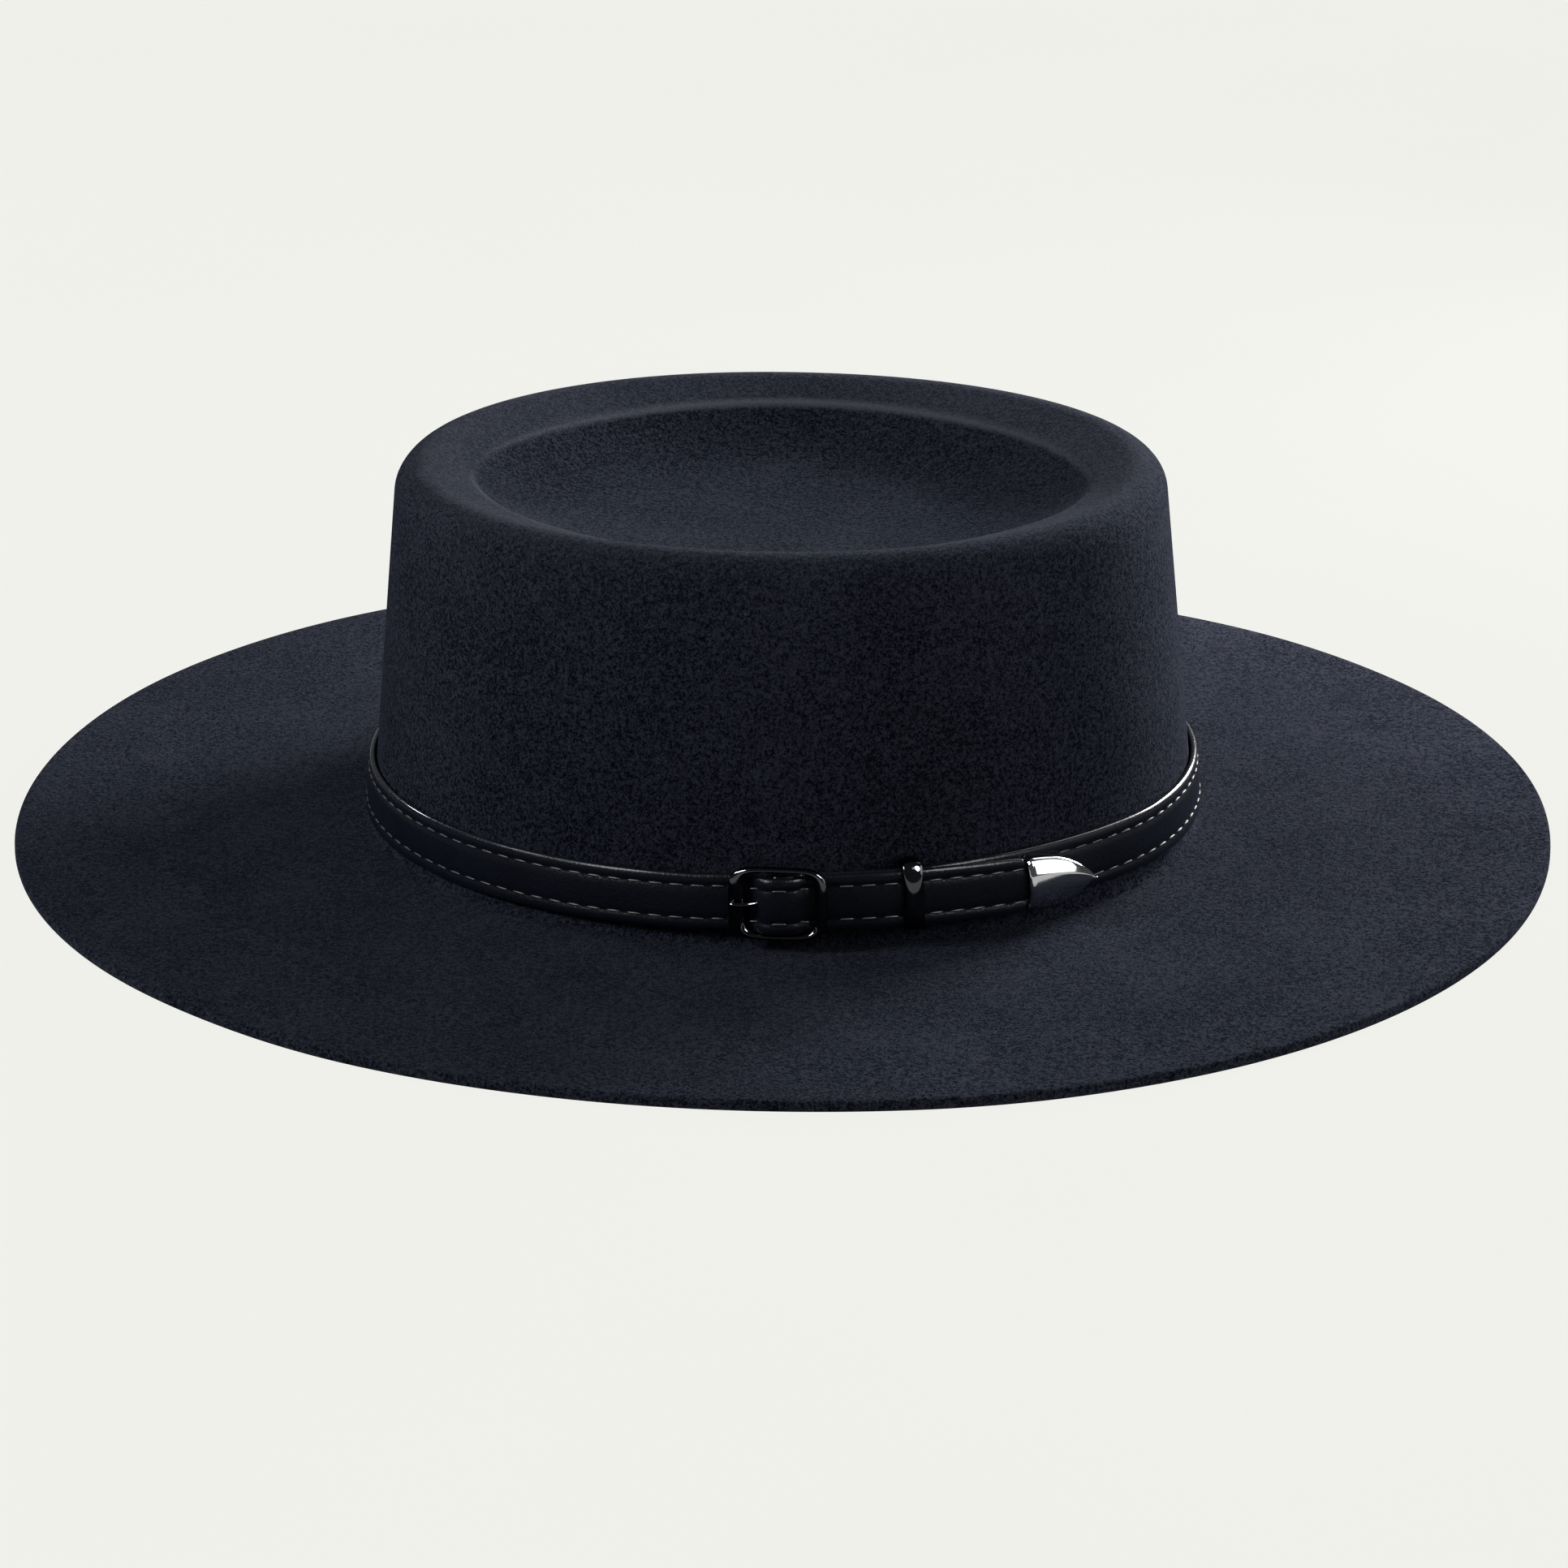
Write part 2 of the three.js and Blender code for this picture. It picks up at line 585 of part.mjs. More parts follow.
// Tip: a cast point with a ridge down its middle and a pocket for the strap's end.
function tipRing(share) {
  const half = TIP_HALF_HEIGHT * (1 - share ** 3);
  const thin = 1 - 0.55 * share ** 2;
  const along = TIP_ALONG + TIP_LENGTH * share;
  const middle = TIP_SHIFT - TIP_DROP * share ** 1.4;
  const section = [
    [-1, 0.15], [-1, -0.5], [-0.9, -1], [0.9, -1], [1, -0.5],
    [1, 0.15], [0.86, 0.62], [0, 1], [-0.86, 0.62],
  ];
  return section.map(([up, deep]) => {
    const out = TIP_OUT + deep * thin * (deep > 0 ? TIP_FRONT : TIP_BACK);
    return onWall(along, out, middle + up * half);
  });
}

function pocketRing(share) {
  const along = TIP_ALONG + POCKET_DEPTH * share;
  const half = STRAP_END_WIDTH / 2 + GAP;
  const section = [
    [-1, 0.3], [-1, -0.6], [-0.95, -1], [0.95, -1], [1, -0.6],
    [1, 0.3], [0.95, 1], [0, 1], [-0.95, 1],
  ];
  return section.map(([up, deep]) => onWall(along, TIP_OUT + deep * POCKET_HALF_OUT, TIP_SHIFT + up * half));
}

function strapTip() {
  const shell = [0, 0.2, 0.4, 0.58, 0.74, 0.87, 0.96].map(tipRing);
  const apex = onWall(TIP_ALONG + TIP_LENGTH, TIP_OUT, TIP_SHIFT - TIP_DROP);
  const pocketFloor = pocketRing(1);
  return loft([pocketFloor, pocketRing(0), ...shell], middleOf(pocketFloor), apex);
}

// Assembly

function material(color, roughness, metalness) {
  return new THREE.MeshStandardMaterial({ color, roughness, metalness });
}

const FELT_BLACK = material(0x14161c, 0.95, 0);
const LEATHER_BLACK = material(0x0c0d10, 0.45, 0);
const BLACK_NICKEL = material(0x2a2a2e, 0.18, 1);
const POLISHED_NICKEL = material(0x9a9aa0, 0.12, 1);

const hat = new THREE.Group();

function addPiece(name, geometry, finish) {
  const mesh = new THREE.Mesh(geometry, finish);
  mesh.name = name;
  hat.add(mesh);
}

addPiece('felt_body', feltBody(), FELT_BLACK);
addPiece('strap', strap(), LEATHER_BLACK);
addPiece('buckle_frame', buckleFrame(), BLACK_NICKEL);
addPiece('buckle_prong', bucklePin(), BLACK_NICKEL);
addPiece('keeper_loop', keeperLoop(), BLACK_NICKEL);
addPiece('strap_tip', strapTip(), POLISHED_NICKEL);

export default hat;
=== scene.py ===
# A gaucho hat in black felt with a stitched leather strap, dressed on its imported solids.
# Sizes are millimetres until a piece is finished, then metres. +Z is up and the brim rests on
# Z = 0. X runs from the wearer's front (-X) to the back (+X). The buckle is at -Y.

import math
from bisect import bisect_right

import bmesh
import bpy
from mathutils import Matrix, Vector, noise


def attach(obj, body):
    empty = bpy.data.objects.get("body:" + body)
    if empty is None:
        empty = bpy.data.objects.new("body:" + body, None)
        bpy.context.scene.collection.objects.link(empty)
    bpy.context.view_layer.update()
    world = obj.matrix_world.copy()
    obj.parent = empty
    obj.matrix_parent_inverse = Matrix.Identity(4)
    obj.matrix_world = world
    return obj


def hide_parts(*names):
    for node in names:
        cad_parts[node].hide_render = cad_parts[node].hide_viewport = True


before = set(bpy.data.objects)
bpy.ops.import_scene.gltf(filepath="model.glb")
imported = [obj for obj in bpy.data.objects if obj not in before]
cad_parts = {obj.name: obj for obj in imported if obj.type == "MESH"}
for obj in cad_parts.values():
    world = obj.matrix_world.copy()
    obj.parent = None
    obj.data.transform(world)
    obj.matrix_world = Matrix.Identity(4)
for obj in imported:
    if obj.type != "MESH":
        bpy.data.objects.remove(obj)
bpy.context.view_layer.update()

MM = 0.001

# Felt body
FELT = 2.6
CROWN_HALF_LENGTH = 102
CROWN_HALF_WIDTH = 89.2
BRIM_WIDTH = 86.8
BRIM_EDGE_RISE = 0.7
BRIM_FRONT_RISE = 1.7
FLAT_BRIM = 0.45
CROWN_OVAL = 2.03
BRIM_OVAL = 2.08
TOP_OVAL = 2.09
CROWN_HEIGHT = 92.6
WALL_LEAN = 0.101
BREAK_RADIUS = 2
SHOULDER_RADIUS = 7
STRAIGHT_WALL = 0.23
RIM_SLOPE = math.radians(25)
RIDGE_INSET = 26.6
RIDGE_OVAL = 1.84
RIDGE_RADIUS = (9, 2.6)
CREASE_SLOPE = (math.radians(35), math.radians(43))
CREASE_BEND = (52, 38)
FLOOR_SLOPE = math.radians(5)
CREASE_DEPTH = 18
FLOOR_SAG = 2
FELT_STEPS = 288
FLOOR_STEPS = 10

# Strap
STRAP_WIDTH = 13.4
STRAP_THICKNESS = 1.6
STRAP_MIDDLE = 12.85
STRAP_TILT = 0.01
STRAP_END_WIDTH = 10.6
BASE_OUT = 0.45 + STRAP_THICKNESS / 2
STITCH_ROW = 3.9
STITCH_PITCH = 5
STITCH_LENGTH = 3.7
STITCH_HALF_WIDTH = 0.33
STITCH_HALF_HEIGHT = 0.3
STITCH_LEAN = 0.05

# Buckle, keeper loop and tip
BUCKLE_ALONG = 11.1
FRAME_LENGTH = 22.2
FRAME_HEIGHT = 17.2
FRAME_RAIL = 1.2
FRAME_LEFT_BAR = 3.75
FRAME_RIGHT_BAR = 2.7
FRAME_THICKNESS = 2
FRAME_OUT = (3.5, 5.5)
FRAME_SHIFT = 1.3
FRAME_OVAL = 5
FRAME_BOW = 0.4
WINDOW_OVAL = 5.5
BAR_RADIUS = 0.7
BAR_OUT = 2.5
POST_RADIUS = 0.4
PRONG_RADIUS = 0.6
PRONG_EYE_RADIUS = 1.45
PRONG_EYE_WIRE = 0.5
KEEPER_ALONG = 41.5
KEEPER_WIDTH = 4.4
KEEPER_HALF_DEPTH = 2.15
KEEPER_HALF_OPENING = 7.5
KEEPER_FRONT = 1.25
KEEPER_TOP = 1.2
KEEPER_WALL = 0.6
KEEPER_OUT = 3.05
KEEPER_SHIFT = 1.35
KEEPER_LEAN = 0.02
TIP_ALONG = 68.6
TIP_LENGTH = 18.9
TIP_HALF_HEIGHT = 6.6
TIP_DROP = 2.4
TIP_SHIFT = 0.15
TIP_OUT = 4.0
TIP_BACK = 1.7
TIP_FRONT = 2.8
TIP_POCKET_HALF_DEPTH = 1.15
TIP_POCKET_PLAY = 0.3


def lerp(low, high, share):
    return low + (high - low) * share


def shares(count):
    return [index / count for index in range(count + 1)]


def smoothstep(low, high, value):
    share = min(max((value - low) / (high - low), 0), 1)
    return share * share * (3 - 2 * share)


def bowed(value, power):
    return math.copysign(abs(value) ** (2 / power), value)


def oval_point(half_length, half_width, power, angle):
    x = half_length * bowed(math.cos(angle), power)
    y = half_width * bowed(math.sin(angle), power)
    return Vector((x, y))


# Pieces


def finish_piece(name, bm, material, node=None):
    """Turns a bmesh in millimetres into a smooth object in metres that rides with the hat."""
    bmesh.ops.scale(bm, vec=(MM, MM, MM), verts=bm.verts)
    mesh = bpy.data.meshes.new(name)
    bm.to_mesh(mesh)
    bm.free()
    mesh.shade_smooth()
    mesh.materials.append(material)
    piece = bpy.data.objects.new(name, mesh)
    bpy.context.scene.collection.objects.link(piece)
    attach(piece, "root")
    if node:
        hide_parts(node)
    return piece


def wrapped_grid(rows, around, place, closed=False):
    """A tube of rows by around points. A closed one comes back to its first row."""
    bm = bmesh.new()
    spans = rows if closed else rows - 1
    bmesh.ops.create_grid(bm, x_segments=spans, y_segments=around, size=0.5)
    for vert in bm.verts:
        row = round((vert.co.x + 0.5) * spans) % rows
        step = round((vert.co.y + 0.5) * around) % around
        vert.co = place(row, step)
    bmesh.ops.remove_doubles(bm, verts=bm.verts, dist=1e-5)
    if not closed:
        bmesh.ops.holes_fill(bm, edges=bm.edges, sides=around + 1)
    bmesh.ops.recalc_face_normals(bm, faces=bm.faces)
    return bm


# Felt body


def felt_section(side):
    """The top skin in one direction, from the brim's edge to the crease's floor."""
    section = []
    for share in reversed(shares(30)[1:]):
        section.append((-BRIM_WIDTH * share, 0, lerp(CROWN_OVAL, BRIM_OVAL, share), share))

    tilt = math.atan(WALL_LEAN)
    break_inset = WALL_LEAN * BREAK_RADIUS - BREAK_RADIUS / math.cos(tilt)
    for share in shares(5):
        turn = share * (math.pi / 2 - tilt)
        inset = break_inset + BREAK_RADIUS * math.sin(turn)
        section.append((inset, BREAK_RADIUS * (1 - math.cos(turn)), CROWN_OVAL, 0))

    top = CROWN_HEIGHT - FELT
    shoulder_height = top - SHOULDER_RADIUS
    shoulder_inset = SHOULDER_RADIUS * math.cos(tilt) + WALL_LEAN * (
        shoulder_height + SHOULDER_RADIUS * math.sin(tilt)
    )
    for share in shares(26)[2:-1]:
        height = share * shoulder_height
        easing = max(0, (share - STRAIGHT_WALL) / (1 - STRAIGHT_WALL))
        section.append((WALL_LEAN * height, height, lerp(CROWN_OVAL, TOP_OVAL, easing), 0))
    for share in shares(14):
        turn = lerp(tilt, math.pi / 2 + RIM_SLOPE, share)
        inset = shoulder_inset - SHOULDER_RADIUS * math.cos(turn)
        section.append((inset, shoulder_height + SHOULDER_RADIUS * math.sin(turn), TOP_OVAL, 0))

    ridge_radius = lerp(*RIDGE_RADIUS, side)
    crease_slope = lerp(*CREASE_SLOPE, side)
    crease_bend = lerp(*CREASE_BEND, side)
    rim_inset, rim_height = section[-1][:2]
    ridge_start = RIDGE_INSET - ridge_radius * (crease_slope - RIM_SLOPE) / 2
    ridge_height = rim_height - (ridge_start - rim_inset) * math.tan(RIM_SLOPE)
    for share in shares(5)[1:-1]:
        inset = lerp(rim_inset, ridge_start, share)
        power = lerp(TOP_OVAL, RIDGE_OVAL, share)
        section.append((inset, lerp(rim_height, ridge_height, share), power, 0))
    for share in shares(5):
        slope = lerp(RIM_SLOPE, crease_slope, share)
        inset = ridge_start + ridge_radius * (math.sin(slope) - math.sin(RIM_SLOPE))
        height = ridge_height - ridge_radius * (math.cos(RIM_SLOPE) - math.cos(slope))
        section.append((inset, height, RIDGE_OVAL, 0))

    edge_inset, edge_height = section[-1][:2]
    floor_height = top - CREASE_DEPTH + FLOOR_SAG
    bend_height = floor_height + crease_bend * (math.cos(FLOOR_SLOPE) - math.cos(crease_slope))
    bend_inset = edge_inset + (edge_height - bend_height) / math.tan(crease_slope)
    for share in shares(3)[1:-1]:
        inset = lerp(edge_inset, bend_inset, share)
        section.append((inset, lerp(edge_height, bend_height, share), RIDGE_OVAL, 0))
    for share in shares(8):
        slope = lerp(crease_slope, FLOOR_SLOPE, share)
        inset = bend_inset + crease_bend * (math.sin(crease_slope) - math.sin(slope))
        height = bend_height - crease_bend * (math.cos(slope) - math.cos(crease_slope))
        section.append((inset, height, RIDGE_OVAL, 0))
    return section


def felt_point(section, station, angle):
    """A point of the top skin. Stations past the section's end close the crease's floor."""
    last = len(section) - 1
    inset, height, power, brim = section[min(station, last)]
    flat = oval_point(CROWN_HALF_LENGTH - inset, CROWN_HALF_WIDTH - inset, power, angle)
    edge_rise = max(BRIM_EDGE_RISE - BRIM_FRONT_RISE * math.cos(angle), 0)
    point = Vector((flat.x, flat.y, FELT + height + edge_rise * smoothstep(FLAT_BRIM, 1.2, brim)))
    if station > last:
        reach = 1 - (station - last) / FLOOR_STEPS
        middle = CROWN_HEIGHT - CREASE_DEPTH
        point = Vector((point.x * reach, point.y * reach, lerp(middle, point.z, reach ** 2)))
    return point


def felt_body(material):
    stations = len(felt_section(0)) + FLOOR_STEPS
    bm = bmesh.new()
    profile = [bm.verts.new((station, 0, 0)) for station in range(stations)]
    for inner, outer in zip(profile, profile[1:]):
        bm.edges.new((inner, outer))
    bmesh.ops.spin(
        bm,
        geom=bm.verts[:] + bm.edges[:],
        cent=(0, 0, 0),
        axis=(0, 0, 1),
        dvec=(0, 0, 0),
        angle=2 * math.pi,
        steps=FELT_STEPS,
        use_merge=True,
        use_duplicate=False,
    )
    bmesh.ops.remove_doubles(bm, verts=bm.verts, dist=1e-4)
    # A per-vertex share of painted highlight on the ridge and rim, read by the felt material.
    painted_sheen = bm.verts.layers.float.new("painted_sheen")
    sections = {}
    for vert in bm.verts:
        angle = math.atan2(vert.co.y, vert.co.x)
        step = round(angle / (2 * math.pi) * FELT_STEPS) % FELT_STEPS
        if step not in sections:
            sections[step] = felt_section(math.sin(2 * math.pi * step / FELT_STEPS) ** 2)
        station = stations - 1 - round(vert.co.length)
        inset = sections[step][min(station, len(sections[step]) - 1)][0]
        vert[painted_sheen] = painted_nap_sheen(inset, abs(math.sin(angle)))
        vert.co = felt_point(sections[step], station, 2 * math.pi * step / FELT_STEPS)
    for vert in bm.verts:
        vert.co.z += felt_wave(vert.co)
    bmesh.ops.recalc_face_normals(bm, faces=bm.faces)
    if sum(face.normal.z for face in bm.faces) < 0:
        bmesh.ops.reverse_faces(bm, faces=bm.faces)
    bmesh.ops.solidify(bm, geom=bm.faces[:], thickness=FELT)
    bm.normal_update()
    cut_edge = [
        edge for edge in bm.edges
        if edge.is_manifold and edge.calc_face_angle(0) > 1.2 and edge.verts[0].co.xy.length > 150
    ]
    bmesh.ops.bevel(
        bm,
        geom=cut_edge,
        offset=0.8,
        offset_type="OFFSET",
        segments=3,
        profile=0.5,
        affect="EDGES",
        material=-1,
    )
    return finish_piece("hat_felt", bm, material, "felt_body")


def painted_nap_sheen(inset, side):
    """How much painted highlight the nap gets: most on the ridge at the sides, a little over the rim."""
    rim = smoothstep(6, 15, inset) * (1 - smoothstep(RIDGE_INSET, RIDGE_INSET + 2, inset))
    ridge = side ** 0.7 * (1 - smoothstep(0.1, 1.5, abs(inset - RIDGE_INSET)))
    return max(0.16 * rim, ridge)


def felt_wave(place):
    """A slow waviness of the hand-blocked felt, none where it rests and where the strap lies."""
    reach = place.xy.length
    brim = smoothstep(135, 185, reach) if place.z < 8 else 0
    return 0.55 * brim * (0.5 + 0.5 * noise.noise(place * 0.018))


# Places on the crown's wall


def wall_table():
    inset = WALL_LEAN * (STRAP_MIDDLE - FELT)
    steps = 2880
    points = [
        oval_point(
            CROWN_HALF_LENGTH - inset,
            CROWN_HALF_WIDTH - inset,
            CROWN_OVAL,
            2 * math.pi * step / steps - math.pi / 2,
        )
        for step in range(steps + 1)
    ]
    lengths = [0]
    for before, after in zip(points, points[1:]):
        lengths.append(lengths[-1] + (after - before).length)
    return points, lengths


WALL_POINTS, WALL_LENGTHS = wall_table()
WALL_ROUND = WALL_LENGTHS[-1]


def on_wall(along, out, up):
    """A point at a place along the strap, out from the felt and over the strap's middle."""
    place = along % WALL_ROUND
    step = min(bisect_right(WALL_LENGTHS, place) - 1, len(WALL_POINTS) - 2)
    share = (place - WALL_LENGTHS[step]) / (WALL_LENGTHS[step + 1] - WALL_LENGTHS[step])
    foot = WALL_POINTS[step].lerp(WALL_POINTS[step + 1], share)
    before = WALL_POINTS[(step - 1) % (len(WALL_POINTS) - 1)]
    after = WALL_POINTS[(step + 2) % (len(WALL_POINTS) - 1)]
    tangent = (after - before).normalized()
    reach = out - WALL_LEAN * up
    return Vector((
        foot.x + tangent.y * reach,
        foot.y - tangent.x * reach,
        STRAP_MIDDLE + up + STRAP_TILT * foot.x,
    ))


def wall_matrix(along, out, up):
    """A placement whose X, Y and Z run along the strap, up the wall and out of it."""
    forward = (on_wall(along + 0.5, out, up) - on_wall(along - 0.5, out, up)).normalized()
    upward = (on_wall(along, out, up + 0.5) - on_wall(along, out, up - 0.5)).normalized()
    outward = forward.cross(upward).normalized()
    turned = Matrix((forward, outward.cross(forward), outward)).transposed()
    return Matrix.Translation(on_wall(along, out, up)) @ turned.to_4x4()


# Strap

# Columns: along, out, shift, width. From inside the tip to the left bar, then round the crown.
FREE_END = [
    (72.5, 4.0, 0.15, STRAP_END_WIDTH),
    (70.4, 4.0, 0.15, STRAP_END_WIDTH),
    (68.25, 4.0, 0.15, STRAP_END_WIDTH),
    (68.05, 4.0, 0.15, STRAP_WIDTH),
    (58, 3.6, 0.5, STRAP_WIDTH),
    (48, 3.9, 1.0, STRAP_WIDTH),
    (41.5, 4.0, 1.1, STRAP_WIDTH),
    (35.5, 3.9, 1.05, STRAP_WIDTH),
    (27.8, 3.2, 0.9, STRAP_WIDTH),
    (19.4, 3.05, 0.85, STRAP_WIDTH),
    (17.6, 3.35, 0.85, STRAP_WIDTH),
    (14.85, 5.05, 0.85, STRAP_WIDTH),
    (11.1, 5.6, 0.85, STRAP_WIDTH),
    (8.45, 5.1, 0.85, STRAP_WIDTH),
    (6.65, 3.5, 0.75, STRAP_WIDTH),
    (5.05, 1.9, 0.65, STRAP_WIDTH),
    (3.05, 1.35, 0.5, STRAP_WIDTH),
    (-0.2, BASE_OUT, 0.3, STRAP_WIDTH),
    (-8, BASE_OUT, 0, STRAP_WIDTH),
]

# Columns: along, out, shift, thickness. Behind the free end, then folded round the centre bar.
FOLDED_END = [
    (112, BASE_OUT, 0, STRAP_THICKNESS),
    (94, BASE_OUT, 0.6, STRAP_THICKNESS),
    (80, BASE_OUT, 0.8, STRAP_THICKNESS),
    (62, BASE_OUT, 0.8, STRAP_THICKNESS),
    (53, 1.35, 0.8, STRAP_THICKNESS),
    (47.5, 1.95, 0.85, STRAP_THICKNESS),
    (41.5, 2.1, 0.9, STRAP_THICKNESS),
    (35.5, 1.95, 0.9, STRAP_THICKNESS),
    (30.8, 1.35, 0.85, STRAP_THICKNESS),
    (24.8, BASE_OUT, 0.85, STRAP_THICKNESS),
    (20.45, BASE_OUT, 0.85, STRAP_THICKNESS),
    (18.25, 1.4, 0.85, 1.4),
    (16.05, 2.2, 0.85, 1.1),
    (13.65, 3.55, 0.85, 0.8),
    (11.1, 3.85, 0.85, 0.8),
    (10.15, 3.45, 0.85, 0.8),
    (9.75, 2.5, 0.85, 0.8),
    (10.15, 1.55, 0.85, 0.8),
    (11.1, 1.15, 0.85, 0.8),
    (13.45, 1.1, 0.85, 0.8),
]


def rounded_rows(rows, passes=3):
    """Cuts the corners of a table's path a few times, so that it bends smoothly."""
    for _ in range(passes):
        cut = [rows[0]]
        for before, after in zip(rows, rows[1:]):
            cut.append(before * 0.75 + after * 0.25)
            cut.append(before * 0.25 + after * 0.75)
        rows = cut + [rows[-1]]
    return rows


def strap_rows():
    """Rows of along, out, shift, width and thickness over the strap's whole length."""
    free = [Vector((*row, STRAP_THICKNESS)) for row in FREE_END]
    folded = [
        Vector((along - WALL_ROUND, out, shift, STRAP_WIDTH, thickness))
        for along, out, shift, thickness in FOLDED_END
    ]
    free = rounded_rows(free)
    folded = rounded_rows(folded)
    steps = 220
    middle = [free[-1] * (1 - share) + folded[0] * share for share in shares(steps)[1:-1]]
    return free + middle + folded


# The strap's section, half of its front: shares of the half width and of the half thickness.
STRAP_FRONT = [
    (0, 1.0), (0.3, 0.99), (0.48, 0.9), (0.545, 0.72), (0.582, 0.64), (0.62, 0.72), (0.69, 0.92),
    (0.78, 0.97), (0.88, 0.9), (0.95, 0.7), (0.99, 0.35),
]
STRAP_BACK = [(1.0, -0.1), (0.985, -0.6), (0.93, -0.95), (0.5, -1.0)]


def strap_section():
    half = STRAP_FRONT + STRAP_BACK
    other = [(-up, deep) for up, deep in reversed(half[1:])]
    return half + [(0, -1.0)] + other


def strap_piece(material):
    rows = strap_rows()
    section = strap_section()

    def place(row, step):
        along, out, shift, width, thickness = rows[row]
        before = rows[max(row - 1, 0)]
        after = rows[min(row + 1, len(rows) - 1)]
        heading = Vector((before[0] - after[0], before[1] - after[1])).normalized()
        up, deep = section[step]
        deep *= thickness / 2
        return on_wall(along - heading.y * deep, out + heading.x * deep, shift + up * width / 2)

    bm = wrapped_grid(len(rows), len(section), place)
    burnish = bm.verts.layers.float.new("burnish")
    for vert in bm.verts:
        vert[burnish] = smoothstep(0.55, 0.9, abs(vert.normal.z))  # The edges face up and down.
    return finish_piece("strap_leather", bm, material, "strap")


def front_row(rows, along):
    """The strap's out and shift at a place along one of its layers."""
    for before, after in zip(rows, rows[1:]):
        if min(before[0], after[0]) <= along <= max(before[0], after[0]):
            share = (along - before[0]) / (after[0] - before[0])
            return lerp(before[1], after[1], share), lerp(before[2], after[2], share)
    return BASE_OUT, 0


# The free end has no stitches under the frame's right bar and under the keeper loop.
STITCH_BREAKS = [(18.6, 24), (37.6, 45.4)]


def stitches(material):
    free = rounded_rows([Vector(row) for row in FREE_END])
    folded = rounded_rows([Vector(row) for row in FOLDED_END])
    places = []
    along = 1.6
    while along < 67:
        if not any(low < along < high for low, high in STITCH_BREAKS):
            places.append((along, *front_row(free, along)))
        along += STITCH_PITCH
    start = 71
    finish = WALL_ROUND - 2.4
    count = round((finish - start) / STITCH_PITCH)
    for share in shares(count):
        along = lerp(start, finish, share)
        rows = folded if along < 112 else free
        local = along if along < 112 else along - WALL_ROUND
        places.append((along, *front_row(rows, local)))
    bm = bmesh.new()
    for index, (along, out, shift) in enumerate(places):
        for row in (-STITCH_ROW, STITCH_ROW):
            lean = STITCH_LEAN * noise.noise(Vector((index * 3.7, row, 0)))
            placed = wall_matrix(along, out + STRAP_THICKNESS * 0.36, shift + row)
            turned = placed @ Matrix.Rotation(lean, 4, "Z")
            shaped = turned @ Matrix.Diagonal(
                (STITCH_LENGTH / 2, STITCH_HALF_WIDTH, STITCH_HALF_HEIGHT, 1)
            )
            bmesh.ops.create_uvsphere(bm, u_segments=8, v_segments=6, radius=1, matrix=shaped)
    return finish_piece("strap_stitches", bm, material)


# Buckle


def frame_out(along):
    """How far out the frame's middle lies: further at the right, over the strap's free end."""
    share = (along - BUCKLE_ALONG) / FRAME_LENGTH + 0.5
    return lerp(*FRAME_OUT, share)


def round_section(steps, power):
    """Points round a cushion-shaped section, each from -1 to 1 both ways."""
    angles = [2 * math.pi * step / steps for step in range(steps)]
    return [(bowed(math.cos(angle), power), bowed(math.sin(angle), power)) for angle in angles]


def buckle_frame(material):
    around = 112
    section = round_section(18, 2.9)
    window_middle = (FRAME_LEFT_BAR - FRAME_RIGHT_BAR) / 2
    window_half = (FRAME_LENGTH - FRAME_LEFT_BAR - FRAME_RIGHT_BAR) / 2

    def place(row, step):
        angle = 2 * math.pi * row / around
        outer = oval_point(FRAME_LENGTH / 2, FRAME_HEIGHT / 2 - FRAME_BOW, FRAME_OVAL, angle)
        window_height = FRAME_HEIGHT / 2 - FRAME_RAIL - FRAME_BOW
        inner = oval_point(window_half, window_height, WINDOW_OVAL, angle)
        inner.x += window_middle
        across, deep = section[step]
        flat = inner.lerp(outer, 0.5 + 0.5 * across)
        bow = FRAME_BOW * (1 - (2 * flat.x / FRAME_LENGTH) ** 2) * (1 if flat.y > 0 else -1)
        along = BUCKLE_ALONG + flat.x
        up = FRAME_SHIFT + flat.y + bow * min(1, abs(flat.y) / 6)
        return on_wall(along, frame_out(along) + deep * FRAME_THICKNESS / 2, up)

    bm = wrapped_grid(around, len(section), place, closed=True)
    rail = FRAME_HEIGHT / 2 - FRAME_RAIL - 0.2
    placed = wall_matrix(BUCKLE_ALONG, BAR_OUT, FRAME_SHIFT)
    bmesh.ops.create_cone(
        bm, cap_ends=True, segments=20, radius1=BAR_RADIUS, radius2=BAR_RADIUS, depth=2 * rail,
        matrix=placed @ Matrix.Rotation(math.pi / 2, 4, "X"),
    )
    post_out = (BAR_OUT - BAR_RADIUS + frame_out(BUCKLE_ALONG)) / 2
    post_length = frame_out(BUCKLE_ALONG) - BAR_OUT + BAR_RADIUS
    for end in (-1, 1):
        bmesh.ops.create_cone(
            bm, cap_ends=True, segments=16, radius1=POST_RADIUS, radius2=POST_RADIUS,
            depth=post_length, matrix=wall_matrix(BUCKLE_ALONG, post_out, FRAME_SHIFT + end * rail),
        )
    return finish_piece("buckle_frame_metal", bm, material, "buckle_frame")


# Columns: along, out, radius.
PRONG_ROUTE = [
    (9.95, 3.3, PRONG_RADIUS),
    (8.45, 3.25, PRONG_RADIUS),
    (7.05, 3.75, PRONG_RADIUS),
    (5.55, 4.75, PRONG_RADIUS),
    (3.85, 5.5, PRONG_RADIUS),
    (2.05, 5.5, PRONG_RADIUS),
    (0.9, 5.35, PRONG_RADIUS),
    (0.7, 5.3, 0.3),
]


